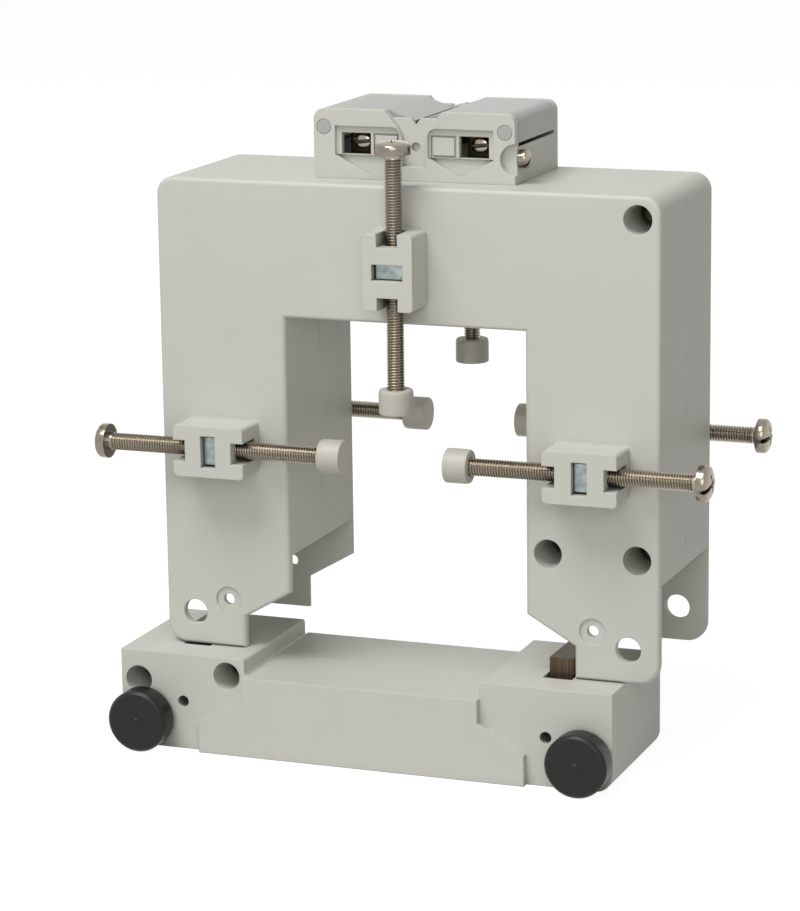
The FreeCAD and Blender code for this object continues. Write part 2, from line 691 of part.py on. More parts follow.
def c_core(name, half_outer, foot, yoke_low, yoke_high, opens_up):
    """A strip-wound C: two legs and a yoke, with rounded corners."""
    body = new_body(name)
    inner = half_outer - cell("core_thick")
    far, near = (yoke_low, yoke_high) if opens_up else (yoke_high, yoke_low)
    outline = [
        (-half_outer, foot), (-inner, foot), (-inner, near), (inner, near),
        (inner, foot), (half_outer, foot), (half_outer, far), (-half_outer, far),
    ]
    pad_y(body, "strip", -cell("core_deep") / 2, cell("core_deep"), [outline])
    round_edges(body, "outer_bends", cell("core_corner"),
                upright_at([(-half_outer, far), (half_outer, far)]))
    round_edges(body, "inner_bends", cell("core_inner_corner"),
                upright_at([(-inner, near), (inner, near)]))
    return body


def make_cores():
    half_outer = LEG_MIDDLE + cell("core_thick") / 2
    half_yoke = cell("core_thick") / 2
    yoke_middle = WINDOW_TOP + cell("top_height") / 2
    foot = TAB_DROP + cell("core_rise") + cell("core_gap")
    upper = c_core("upper_core", half_outer, foot, yoke_middle - half_yoke, yoke_middle + half_yoke, False)
    bar = c_core("bar_core", half_outer, cell("bar_height") + cell("core_rise"),
                 cell("yoke_up") - half_yoke, cell("yoke_up") + half_yoke, True)
    return upper, bar


def make_bobbin():
    """A square tube with a flange at each end that bears on the housing's walls."""
    body = new_body("bobbin")
    play = cell("core_play")
    hole_x = cell("core_thick") / 2 + play
    hole_y = cell("core_deep") / 2 + play
    tube_x = hole_x + cell("bobbin_wall")
    tube_y = hole_y + cell("bobbin_wall")
    flange_x = cell("leg_width") / 2 - cell("wall") - play
    flange_y = cell("half_depth") - cell("tab_thick") - play
    low = TAB_DROP + cell("bobbin_low")
    high = low + cell("bobbin_long") - cell("flange_thick")
    pad_z(body, "tube", low, cell("bobbin_long"), [rectangle(-tube_x, tube_x, -tube_y, tube_y)])
    for name, start in (("lower_flange", low), ("upper_flange", high)):
        pad_z(body, name, start, cell("flange_thick"),
              [rectangle(-flange_x, flange_x, -flange_y, flange_y)])
    cut_z(body, "passage", low, cell("bobbin_long"), [rectangle(-hole_x, hole_x, -hole_y, hole_y)])
    return body


def make_winding():
    body = new_body("winding")
    inner_x = cell("core_thick") / 2 + cell("core_play") + cell("bobbin_wall")
    inner_y = cell("core_deep") / 2 + cell("core_play") + cell("bobbin_wall")
    outer_x = inner_x + cell("winding_thick")
    outer_y = inner_y + cell("winding_thick")
    low = TAB_DROP + cell("bobbin_low") + cell("flange_thick")
    long = cell("bobbin_long") - cell("flange_thick") * 2
    outer = rectangle(-outer_x, outer_x, -outer_y, outer_y)
    pad_z(body, "turns", low, long, [outer])
    corners = [(size(px).value, size(py).value) for px, py in outer]

    def at_corner(edge):
        ends = [v.Point for v in edge.Vertexes]
        return any(all(math.hypot(e.x - cx, e.y - cy) < 0.01 for e in ends) for cx, cy in corners)
    round_edges(body, "bends", cell("winding_thick") / 2, at_corner)
    cut_z(body, "passage", low, long, [rectangle(-inner_x, inner_x, -inner_y, inner_y)])
    return body


# Screws, nuts, caps and knobs

def cross_outline(half_long, half_wide):
    return [
        (half_wide, half_wide), (half_long, half_wide), (half_long, -half_wide),
        (half_wide, -half_wide), (half_wide, -half_long), (-half_wide, -half_long),
        (-half_wide, -half_wide), (-half_long, -half_wide), (-half_long, half_wide),
        (-half_wide, half_wide), (-half_wide, half_long), (half_wide, half_long),
    ]


def add_recess(body, head_high, head_r, cross):
    """The driver's recess in a head that lies below the body's XY plane."""
    half_wide = cell("slot_wide") / 2
    if cross:
        loops = [cross_outline(head_r * 0.55, half_wide)]
    else:
        loops = [rectangle(-head_r, head_r, -half_wide, half_wide)]
    cut_z(body, "recess", -head_high, cell("slot_deep"), loops)


def pan_profile(head_r, head_high, shank_r, shank_long, tip):
    """Half section of a pan head screw: the head below zero, the shank above."""
    return [
        (0, -head_high), (head_r * 0.55, -head_high), (head_r * 0.86, -head_high * 0.84),
        (head_r, -head_high * 0.52), (head_r, 0), (shank_r, 0), (shank_r, shank_long - tip),
        (shank_r - tip, shank_long), (0, shank_long),
    ]


def make_clamp_screw():
    body = new_body("clamp_screw")
    tip = cell("clamp_r") / 5
    revolve(body, "turned", pan_profile(cell("clamp_head_r"), cell("clamp_head_high"),
                                        cell("clamp_r"), cell("clamp_long"), tip))
    add_recess(body, cell("clamp_head_high"), cell("clamp_head_r"), True)
    return body


def make_cap():
    """A plastic cap pressed over the tip of a clamp screw."""
    body = new_body("pressure_cap")
    low = cell("clamp_long") - cell("cap_socket")
    high = low + cell("cap_long")
    bevel = cell("cap_r") / 12
    socket = cell("clamp_r") + cell("pilot_play")
    floor = cell("clamp_long") + cell("pilot_play")
    revolve(body, "turned", [
        (socket, low), (cell("cap_r") - bevel, low), (cell("cap_r"), low + bevel),
        (cell("cap_r"), high - bevel), (cell("cap_r") - bevel, high), (0, high),
        (0, floor), (socket, floor),
    ])
    return body


def make_clamps():
    """Six clamp screws with their caps. Each turns about its own axis towards the window."""
    side = HALF
    places = {
        "front_left": (-side - cell("front_left_out"), FACE - SCREW_OUT, BRACKET_Z, TO_RIGHT),
        "front_right": (side + cell("front_right_out"), FACE - SCREW_OUT, BRACKET_Z, TO_LEFT),
        "front_top": (size(0), FACE - SCREW_OUT, HOUSING_TOP + cell("front_top_out"), DOWNWARDS),
        "rear_left": (-side - cell("rear_left_out"), SCREW_OUT - FACE, BRACKET_Z, TO_RIGHT),
        "rear_right": (side + cell("rear_right_out"), SCREW_OUT - FACE, BRACKET_Z, TO_LEFT),
        "rear_top": (size(0), SCREW_OUT - FACE, HOUSING_TOP + cell("rear_top_out"), DOWNWARDS),
    }
    screw, cap = make_clamp_screw(), make_cap()
    made = []
    for name, (x, y, z, rotation) in places.items():
        for kind, pattern in (("clamp_screw_", screw), ("pressure_cap_", cap)):
            made.append(on_upper(copy_of(kind + name, pattern), x, y, z, rotation))
    return made


def make_clamp_nuts():
    """Square nuts, lying in the brackets' seats."""
    across, high = cell("nut_across"), cell("nut_high")
    places = []
    for y in (FACE - SCREW_OUT, SCREW_OUT - FACE):
        places += [(-LEG_MIDDLE, y, BRACKET_Z, TO_RIGHT), (LEG_MIDDLE, y, BRACKET_Z, TO_RIGHT),
                   (size(0), y, BRACKET_TOP_Z, Rotation())]
    nuts = []
    for i, (x, y, z, rotation) in enumerate(places):
        blank = block("nut_blank_%d" % i, across, across, high)
        place(blank, -across / 2, -across / 2, -high / 2)
        hole = cylinder("nut_hole_%d" % i, cell("clamp_r") + cell("clamp_play"), high * 2)
        place(hole, 0, 0, -high)
        nut = without("nut_%d" % i, blank, hole)
        nuts.append(on_upper(nut, x, y, z, rotation))
    return together("clamp_nuts", nuts)


def make_joint_screw():
    body = new_body("joint_screw")
    head, high = cell("joint_head_r"), cell("joint_head_high")
    shank, long = cell("joint_screw_r"), cell("joint_screw_long")
    revolve(body, "turned", [(0, -high), (head, -high), (head, 0), (shank, 0), (shank, long), (0, long)])
    return body


def joint_screws(name, pattern, entries, face, deep, placer):
    """Housing screws: those of the front half on one side, those of the rear half on the other."""
    spots = [(x, face + deep, z, TO_REAR) for x, z in entries]
    spots += [(-x, -face - deep, z, TO_FRONT) for x, z in entries]
    screws = []
    for i, (x, y, z, rotation) in enumerate(spots):
        screws.append(placer(copy_of("%s_%d" % (name, i), pattern), x, y, z, rotation))
    return together(name, screws)


def make_knobs():
    """Thumb knobs on moulded-in studs. A knob's own Z axis points into the bar."""
    knob = new_body("knob")
    back = cell("collar_gap")
    shoulder = back + cell("collar_long")
    front = shoulder + cell("knob_long")
    grip = shoulder + cell("stud_grip")
    revolve(knob, "turned", [
        (cell("stud_r"), -back), (cell("collar_r"), -back), (cell("collar_r"), -shoulder),
        (cell("knob_r"), -shoulder), (cell("knob_r"), cell("knob_bevel") - front),
        (cell("knob_face_r"), -front), (cell("nub_r"), -front), (cell("nub_r"), -front - cell("nub_high")),
        (0, -front - cell("nub_high")), (0, -grip), (cell("stud_r"), -grip),
    ])
    stud = new_body("knob_stud")
    tip = cell("stud_r") / 5
    revolve(stud, "turned", [
        (0, -grip), (cell("stud_r"), -grip), (cell("stud_r"), cell("stud_reach") - tip),
        (cell("stud_r") - tip, cell("stud_reach")), (0, cell("stud_reach")),
    ])
    made = []
    for side, x in (("left", cell("knob_in") - HALF), ("right", HALF - cell("knob_in"))):
        for kind, pattern in (("_knob", knob), ("_knob_stud", stud)):
            made.append(place(copy_of(side + kind, pattern), x, BAR_FACE, cell("knob_up"), TO_REAR))
    return made


def make_inserts():
    inserts = []
    spots = [(sx, sy) for sx in (-1, 1) for sy in (-1, 1)]
    for i, (sx, sy) in enumerate(spots):
        sleeve = cylinder("insert_sleeve_%d" % i, cell("insert_r"), cell("insert_long"))
        bore = cylinder("insert_bore_%d" % i, cell("stud_r") + cell("clamp_play"), cell("insert_long"))
        insert = without("insert_%d" % i, sleeve, bore)
        rotation = TO_REAR if sy < 0 else TO_FRONT
        inserts.append(place(insert, (HALF - cell("knob_in")) * sx, BAR_HALF * sy,
                             cell("knob_up"), rotation))
    return together("stud_inserts", inserts)


# Terminal block, its covers and its metal

BLOCK_HALF = cell("block_wide") / 2
BLOCK_FACE = FACE + cell("block_front")
BLOCK_REAR = BLOCK_FACE + cell("block_deep")
BAY_FRONT = BLOCK_FACE + cell("block_wall")
BAY_REAR = BLOCK_REAR - cell("block_wall")
PIVOT_X = BLOCK_HALF - cell("pivot_in")


def hood_outline(sign):
    """One hood, drawn from the foot of the block. Its inner side leans away from the middle."""
    top = cell("block_high")
    return [
        (BLOCK_HALF * sign, 0), (BLOCK_HALF * sign, top), (cell("hood_inner") * sign, top),
        (cell("hood_waist") * sign, cell("hood_waist_up")),
        (cell("hood_foot") * sign, cell("hood_foot_up")), (cell("hood_foot") * sign, 0),
    ]


def web_outline():
    """The web that joins the hoods, with a notch in its top."""
    side, top = cell("hood_inner"), cell("web_high")
    return [
        (-side, 0), (side, 0), (side, top), (cell("web_notch_half"), top),
        (0, cell("web_notch_low")), (-cell("web_notch_half"), top), (-side, top),
    ]


def rear_outline():
    """The plain rear wall: both hoods and the web in one plane."""
    top = cell("block_high")
    shoulder = (cell("hood_inner") + cell("hood_waist")) / 2
    right = [
        (cell("web_notch_half"), cell("web_high")), (shoulder, cell("web_high")),
        (cell("hood_inner"), top), (BLOCK_HALF, top), (BLOCK_HALF, 0),
    ]
    left = [(-x, z) for x, z in reversed(right)]
    return left + [(0, cell("web_notch_low"))] + right


def make_terminal_block():
    body = new_body("terminal_block")
    deep = cell("block_deep")
    wall = cell("block_wall")
    bay = deep - wall * 2
    side = BLOCK_HALF - cell("block_side")
    pad_y(body, "floor", BLOCK_FACE, deep, [rectangle(-BLOCK_HALF, BLOCK_HALF, 0, cell("block_floor"))])
    hoods = [hood_outline(-1), hood_outline(1)]
    web = wall - cell("web_back")
    pad_y(body, "front_hoods", BLOCK_FACE, wall, hoods)
    pad_y(body, "rear_wall", BAY_REAR, wall, [rear_outline()])
    round_edges(body, "hood_corners", cell("hood_corner"),
                upright_at([(-BLOCK_HALF, cell("block_high")), (BLOCK_HALF, cell("block_high"))]))
    pad_y(body, "front_web", BAY_FRONT - web, web, [web_outline()])
    pad_y(body, "side_walls", BAY_FRONT, bay,
          [rectangle(-BLOCK_HALF, -side, 0, cell("side_high")),
           rectangle(side, BLOCK_HALF, 0, cell("side_high"))])
    spine = cell("spine_half")
    pad_y(body, "spine", BAY_FRONT, bay, [rectangle(-spine, spine, 0, cell("spine_high"))])
    back = BLOCK_FACE + cell("clamp_body_back") + cell("clamp_body_deep")
    pad_y(body, "bay_walls", back, wall, [rectangle(-side, side, 0, cell("block_sill"))])
    pivots = [(-PIVOT_X, cell("pivot_up")), (PIVOT_X, cell("pivot_up"))]
    cut_y(body, "turning_room", BAY_FRONT, bay, circles(pivots, cell("groove_r")))
    cut_y(body, "pivot_holes", BLOCK_FACE, deep, circles(pivots, cell("pivot_r") + cell("pivot_play")))
    for name, sign in (("left", -1), ("right", 1)):
        cut_y(body, name + "_recess", BLOCK_FACE, cell("recess_deep"), [recess_outline(sign)])
        near, far = cell("mouth_near") * sign, cell("mouth_far") * sign
        cut_y(body, name + "_mouth", BLOCK_FACE, wall,
              [rectangle(near, far, cell("mouth_low"), cell("mouth_high"))])
        cut_tile_groove(body, name, sign)
        foot = (cell("recess_near") + cell("recess_far")) * sign / 2
        cut_y(body, name + "_leadin", BLOCK_FACE, cell("leadin_deep"),
              [[(cell("recess_near") * sign, cell("recess_low")),
                (cell("recess_far") * sign, cell("recess_low")), (foot, cell("leadin_foot"))]])
    cut_y(body, "pry_hole", BLOCK_FACE, wall, [(0, cell("pry_hole_up"), cell("pry_hole_r"))])
    cut_y(body, "scoop", BLOCK_FACE, cell("scoop_deep"),
          [(BLOCK_HALF, cell("fixing_up"), cell("scoop_r"))])
    hole = cell("fixing_r") + cell("pilot_play")
    cut_x(body, "fixing_hole", BLOCK_HALF - cell("fixing_long"), cell("fixing_long"),
          [(BLOCK_FACE + cell("fixing_back"), cell("fixing_up"), hole)])
    slot = cell("lead_slot_deep")
    cut_z(body, "lead_slots", 0, cell("block_floor"),
          [rectangle(-cell("lead_slot_half"), -cell("spine_half"), -slot, slot),
           rectangle(cell("spine_half"), cell("lead_slot_half"), -slot, slot)])
    return body


def recess_outline(sign):
    """A front recess: a rectangle whose inner top corner is rounded in two steps."""
    near, far = cell("recess_near"), cell("recess_far")
    low, high = cell("recess_low"), cell("recess_high")
    corner = cell("recess_corner")
    outline = [(near, low), (far, low), (far, high), (near + corner, high),
               (near + corner * 0.3, high - corner * 0.3), (near, high - corner)]
    return [(x * sign, z) for x, z in outline]


def cut_tile_groove(body, name, sign):
    """A fine groove round the closed tile beside each terminal mouth."""
    groove = cell("tile_groove")
    near, far = cell("tile_near"), cell("tile_far")
    low, high = cell("mouth_low"), cell("mouth_high")
    outer = rectangle(near * sign, (far + groove) * sign, low, high)
    inner = rectangle((near + groove) * sign, far * sign, low + groove, high - groove)
    cut_y(body, name + "_tile_groove", BLOCK_FACE + cell("recess_deep"), groove, [outer, inner])


def cover_outline():
    """Section of the right cover: a skirt, a flat top and a slope towards the middle."""
    thick = cell("cover_thick")
    top = cell("block_high")
    outer = BLOCK_HALF
    inner = cell("cover_inner")
    slope_top = cell("hood_inner")
    edge = top - cell("cover_dip")
    bevel = cell("hood_corner") - thick
    return [
        (outer, cell("cover_skirt")), (outer, top), (slope_top, top), (inner, edge),
        (inner, edge - thick), (slope_top, top - thick), (outer - thick - bevel, top - thick),
        (outer - thick, top - thick - bevel), (outer - thick, cell("cover_skirt")),
    ]


def make_cover(side, sign):
    body = new_body(side + "_terminal_cover")
    gap = cell("cover_gap")
    long = BAY_REAR - BAY_FRONT - gap * 2
    outline = [(x * sign, z) for x, z in cover_outline()]
    pad_y(body, "lid", BAY_FRONT + gap, long, [outline])
    round_edges(body, "shoulder", cell("hood_corner"),
                upright_at([(BLOCK_HALF * sign, cell("block_high"))]))
    x = PIVOT_X * sign
    arm = cell("cover_thick")
    top = cell("block_high") - arm / 2
    ear = [(x - cell("pivot_r"), cell("pivot_up")), (x + cell("pivot_r"), cell("pivot_up")),
           (x + cell("pivot_r"), top), (x - cell("pivot_r"), top)]
    for name, start in (("front", BAY_FRONT + gap), ("rear", BAY_REAR - gap - arm)):
        pad_y(body, name + "_ear", start, arm, [ear])
        pad_y(body, name + "_ear_round", start, arm, [(x, cell("pivot_up"), cell("pivot_r"))])
    pivot = [(x, cell("pivot_up"), cell("pivot_r"))]
    pad_y(body, "front_pivot", BLOCK_FACE, BAY_FRONT + gap - BLOCK_FACE, pivot)
    pad_y(body, "rear_pivot", BAY_REAR - gap, BLOCK_REAR - BAY_REAR + gap, pivot)
    return body


def make_terminals():
    """A clamp body in each bay, and its screw with the head towards the front."""
    z = (cell("mouth_low") + cell("mouth_high")) / 2
    clamp = new_body("terminal_clamp")
    half = cell("clamp_body_wide") / 2
    low = cell("block_floor")
    high = z + cell("clamp_body_high") / 2
    start = BLOCK_FACE + cell("clamp_body_back")
    deep = cell("clamp_body_deep")
    pad_y(clamp, "body", start, deep, [rectangle(-half, half, low, high)])
    hole = cell("terminal_screw_r") + cell("pilot_play")
    cut_y(clamp, "screw_hole", start, deep, [(0, z, hole)])
    cut_z(clamp, "wire_hole", low, high - low, [(0, start + deep * 0.7, cell("wire_hole_r") * 0.6)])
    screw = new_body("terminal_screw")
    high = cell("terminal_head_high")
    revolve(screw, "turned", pan_profile(cell("terminal_head_r"), high, cell("terminal_screw_r"),
                                         cell("terminal_screw_long"), cell("terminal_screw_r") / 4))
    add_recess(screw, high, cell("terminal_head_r"), False)
    made = []
    for side, sign in (("left", -1), ("right", 1)):
        x = (cell("mouth_near") + cell("mouth_far")) * sign / 2
        made.append(on_block(copy_of(side + "_terminal_clamp", clamp), x))
        made.append(on_block(copy_of(side + "_terminal_screw", screw), x, start, z, TO_REAR))
    return made


def make_fixing_screw():
    body = new_body("side_fixing_screw")
    high = cell("fixing_head_high")
    revolve(body, "turned", pan_profile(cell("fixing_head_r"), high, cell("fixing_r"),
                                        cell("fixing_long"), cell("fixing_r") / 4))
    add_recess(body, high, cell("fixing_head_r"), True)
    return on_block(body, BLOCK_HALF, BLOCK_FACE + cell("fixing_back"), cell("fixing_up"), TO_LEFT)


# Placing

def on_upper(item, x=0, y=0, z=0, rotation=None):
    """Places a piece that is drawn about the upper housing's own centre line and tab feet."""
    return place(item, size(x) + cell("shift_x"), size(y) + cell("shift_y"),
                 size(z) + cell("bar_height"), rotation)


def on_block(item, x=0, y=0, z=0, rotation=None):
    """Places a piece that is drawn from the foot of the terminal block."""
    return on_upper(item, x, y, size(z) + HOUSING_TOP, rotation)


def build_all():
    upper_half, bar_half = upper_shell("upper_half"), bar_shell("bar_half")
    pieces = [
        on_upper(copy_of("upper_front_shell", upper_half)),
        on_upper(copy_of("upper_rear_shell", upper_half), rotation=HALF_TURN),
        copy_of("bar_front_shell", bar_half),
        place(copy_of("bar_rear_shell", bar_half), 0, 0, 0, HALF_TURN),
    ]
    upper_core, bar_core = make_cores()
    pieces += [on_upper(upper_core), bar_core]
    bobbin, winding, joint_screw = make_bobbin(), make_winding(), make_joint_screw()
    for side, sign in (("left", -1), ("right", 1)):
        pieces.append(on_upper(copy_of(side + "_bobbin", bobbin), LEG_MIDDLE * sign))
        pieces.append(on_upper(copy_of(side + "_winding", winding), LEG_MIDDLE * sign))
        pieces.append(on_block(make_cover(side, sign)))
    pieces += make_clamps() + make_knobs() + make_terminals()
    pieces += [
        make_clamp_nuts(),
        joint_screws("upper_housing_screws", joint_screw, UPPER_ENTRIES, FACE, cell("entry_deep"), on_upper),
        joint_screws("bar_housing_screws", joint_screw, BAR_ENTRIES, BAR_FACE, cell("bar_entry_deep"), place),
        make_inserts(),
        on_block(make_terminal_block()),
        make_fixing_screw(),
    ]
    return pieces


def check(pieces):
    for item in doc.Objects:
        if "Invalid" in item.State or "Error" in item.State:
            raise RuntimeError("%s failed: %s" % (item.Name, item.State))
    for piece in pieces:
        if piece.Shape.isNull() or not piece.Shape.isValid() or not piece.Shape.Solids:
            raise RuntimeError("%s has no valid solid" % piece.Label)


def main():
    pieces = build_all()
    doc.recompute()
    check(pieces)
    os.makedirs("parts", exist_ok=True)
    for piece in pieces:
        piece.Shape.exportStep(os.path.join("parts", piece.Label + ".step"))
        box = piece.Shape.BoundBox
        print("%-24s %d solid(s) %9.1f mm3  x %7.1f %7.1f  y %7.1f %7.1f  z %7.1f %7.1f" % (
            piece.Label, len(piece.Shape.Solids), piece.Shape.Volume,
            box.XMin, box.XMax, box.YMin, box.YMax, box.ZMin, box.ZMax))


main()
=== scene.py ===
import json
import math

import bmesh
import bpy
import numpy as np
from mathutils import Matrix, Vector


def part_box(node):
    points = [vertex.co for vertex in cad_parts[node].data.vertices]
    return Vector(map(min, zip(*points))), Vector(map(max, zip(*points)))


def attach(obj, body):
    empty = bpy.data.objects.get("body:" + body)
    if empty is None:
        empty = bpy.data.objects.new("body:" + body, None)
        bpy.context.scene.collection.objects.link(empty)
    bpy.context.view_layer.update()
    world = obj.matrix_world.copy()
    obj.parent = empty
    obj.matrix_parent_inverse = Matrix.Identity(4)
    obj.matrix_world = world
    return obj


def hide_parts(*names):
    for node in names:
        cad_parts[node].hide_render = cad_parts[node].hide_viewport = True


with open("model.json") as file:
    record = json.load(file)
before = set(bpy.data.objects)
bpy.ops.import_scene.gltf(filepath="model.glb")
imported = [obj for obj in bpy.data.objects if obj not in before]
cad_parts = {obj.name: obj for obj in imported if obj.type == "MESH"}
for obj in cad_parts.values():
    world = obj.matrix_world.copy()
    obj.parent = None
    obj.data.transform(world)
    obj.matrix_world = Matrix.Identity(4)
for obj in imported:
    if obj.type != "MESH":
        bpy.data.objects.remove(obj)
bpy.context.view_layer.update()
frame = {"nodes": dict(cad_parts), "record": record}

MM = 0.001
TURN = 2 * math.pi

# In metres
# The reach of the painted shade in recesses.
RECESS_SHADE_REACH = 0.007      # how far a wall may stand off and still make a recess deep
SURFACE_MERGE = 1e-6      # points of a worked-out surface that are closer than this are one
SOLID_MERGE = 2e-6        # the same for a solid's points


# Colours, as they look on the surface: red, green, blue from 0 to 255

HOUSING_GREY = (202, 203, 196)
COVER_GREY = (172, 175, 171)
CAP_GREY = (192, 190, 181)
KNOB_BLACK = (20, 20, 17)
NICKEL = (164, 155, 141)
ZINC = (150, 160, 160)
CORE_BROWN = (102, 86, 71)
# The brass is darker than bright brass: partly the clamps' own dull metal and partly painted shade for the
# terminal mouths they sit in.
BRASS_DARKENED_WITH_SHADE = (84, 75, 60)
COPPER = (176, 96, 58)
BOBBIN_CREAM = (214, 208, 186)


def linear(colour):
    """The linear light value of a colour written as 0 to 255: its share of 255, put through the usual
    display curve."""
    share = np.array(colour, float) / 255
    return tuple(np.where(share <= 0.04045, share / 12.92, ((share + 0.055) / 1.055) ** 2.4)) + (1.0,)


# Shader building

EDGE_ROUGH = -0.08        # what an edge adds to the roughness


def add(tree, kind, **settings):
    """One node, with its properties and its input values set by name."""
    made = tree.nodes.new("ShaderNode" + kind)
    for key, value in settings.items():
        if key.startswith("_"):
            made.inputs[int(key[1:])].default_value = value
        elif hasattr(made, key):
            setattr(made, key, value)
        else:
            made.inputs[key.replace("_", " ")].default_value = value
    return made


def join(tree, *pairs):
    """Links the first socket of each pair to the second."""
    for source, target in pairs:
        tree.links.new(source, target)


def new_group(name, inputs, outputs):
    """A shader node group. Inputs are (name, kind, value) and outputs (name, kind)."""
    tree = bpy.data.node_groups.new(name, "ShaderNodeTree")
    for label, kind, value in inputs:
        socket = tree.interface.new_socket(label, in_out="INPUT", socket_type="NodeSocket" + kind)
        socket.default_value = value
    for label, kind in outputs:
        tree.interface.new_socket(label, in_out="OUTPUT", socket_type="NodeSocket" + kind)
    return tree, tree.nodes.new("NodeGroupInput").outputs, tree.nodes.new("NodeGroupOutput").inputs


def surface_grain_group():
    """Two sizes of noise on the object's own coordinates: the fine one is the height of the moulded
    grain, and the coarse one is a tone that wanders a little either side of one."""
    tree, given, out = new_group(
        "Surface Grain",
        [("Grain Scale", "Float", 1800.0), ("Mottle Scale", "Float", 60.0), ("Mottle", "Float", 0.02)],
        [("Height", "Float"), ("Tone", "Float")])
    place = add(tree, "TexCoord")
    fine = add(tree, "TexNoise", Detail=2.0, Roughness=0.6)
    coarse = add(tree, "TexNoise", Detail=3.0, Roughness=0.55)
    spread = add(tree, "Math", operation="MULTIPLY_ADD", _2=1.0)
    centred = add(tree, "Math", operation="SUBTRACT", _1=0.5)
    join(tree, (place.outputs["Object"], fine.inputs["Vector"]),
         (place.outputs["Object"], coarse.inputs["Vector"]),
         (given["Grain Scale"], fine.inputs["Scale"]), (given["Mottle Scale"], coarse.inputs["Scale"]),
         (fine.outputs["Fac"], out["Height"]), (coarse.outputs["Fac"], centred.inputs[0]),
         (centred.outputs[0], spread.inputs[0]), (given["Mottle"], spread.inputs[1]),
         (spread.outputs[0], out["Tone"]))
    return tree


def soft_edge_group():
    """The normal of an edge rounded to a radius, and a mask that is one where that normal leaves
    the flat face's own normal."""
    tree, given, out = new_group("Soft Edge", [("Radius", "Float", 0.0004)],
                                 [("Normal", "Vector"), ("Edge", "Float")])
    bevel = add(tree, "Bevel", samples=6)
    face = add(tree, "NewGeometry")
    along = add(tree, "VectorMath", operation="DOT_PRODUCT")
    edge = add(tree, "MapRange", From_Min=0.995, From_Max=0.80, To_Min=0.0, To_Max=1.0)
    join(tree, (given["Radius"], bevel.inputs["Radius"]), (bevel.outputs[0], along.inputs[0]),
         (face.outputs["Normal"], along.inputs[1]), (along.outputs["Value"], edge.inputs["Value"]),
         (edge.outputs["Result"], out["Edge"]), (bevel.outputs[0], out["Normal"]))
    return tree


def painted_recess_shade_group():
    """Painted shade: a mask from ambient occlusion that is one where the surface sees almost nothing but its
    own walls within the reach, as in wells and slots, and nought from a right-angled corner outwards."""
    tree, given, out = new_group("Painted Recess Shade", [("Reach", "Float", RECESS_SHADE_REACH)], [("Mask", "Float")])
    open_share = add(tree, "AmbientOcclusion", samples=6)
    mask = add(tree, "MapRange", From_Min=0.08, From_Max=0.48, To_Min=1.0, To_Max=0.0)
    join(tree, (given["Reach"], open_share.inputs["Distance"]),
         (open_share.outputs["AO"], mask.inputs["Value"]), (mask.outputs["Result"], out["Mask"]))
    return tree


def strip_layers_group():
    """Thin strips stacked across a piece: a wave along the piece's layer attribute gives their
    height, and noise drawn out along the strips gives their tone."""
    tree, given, out = new_group("Strip Layers", [("Layers", "Float", 24.0)],
                                 [("Height", "Float"), ("Tone", "Float")])
    layer = add(tree, "Attribute", attribute_name="layer")
    count = add(tree, "Math", operation="MULTIPLY")
    wave = add(tree, "Math", operation="PINGPONG", _1=0.5)
    whole = add(tree, "Math", operation="FLOOR")
    shade = add(tree, "TexWhiteNoise", noise_dimensions="1D")
    tone = add(tree, "MapRange", To_Min=0.55, To_Max=1.35)
    join(tree, (layer.outputs["Fac"], count.inputs[0]), (given["Layers"], count.inputs[1]),
         (count.outputs[0], wave.inputs[0]), (count.outputs[0], whole.inputs[0]),
         (whole.outputs[0], shade.inputs["W"]), (shade.outputs["Value"], tone.inputs["Value"]),
         (wave.outputs[0], out["Height"]), (tone.outputs["Result"], out["Tone"]))
    return tree


GRAIN = surface_grain_group()
SOFT_EDGE = soft_edge_group()
RECESS_SHADE = painted_recess_shade_group()
LAYERS = strip_layers_group()


def placed_group(tree, group, **values):
    """A shader group placed in a material's tree, with the material's own values."""
    made = tree.nodes.new("ShaderNodeGroup")
    made.node_tree = group
    for key, value in values.items():
        made.inputs[key.replace("_", " ")].default_value = value
    return made


def new_material(name, colour, roughness, metallic=0.0, coat=0.0, specular=0.5):
    """A material whose even values sit on the shader's own sockets."""
    material = bpy.data.materials.new(name)
    material.use_nodes = True
    material.diffuse_color = linear(colour)
    tree = material.node_tree
    shader = tree.nodes["Principled BSDF"]
    shader.inputs["Roughness"].default_value = roughness
    shader.inputs["Metallic"].default_value = metallic
    shader.inputs["Coat Weight"].default_value = coat
    shader.inputs["Specular IOR Level"].default_value = specular
    return material, tree, shader


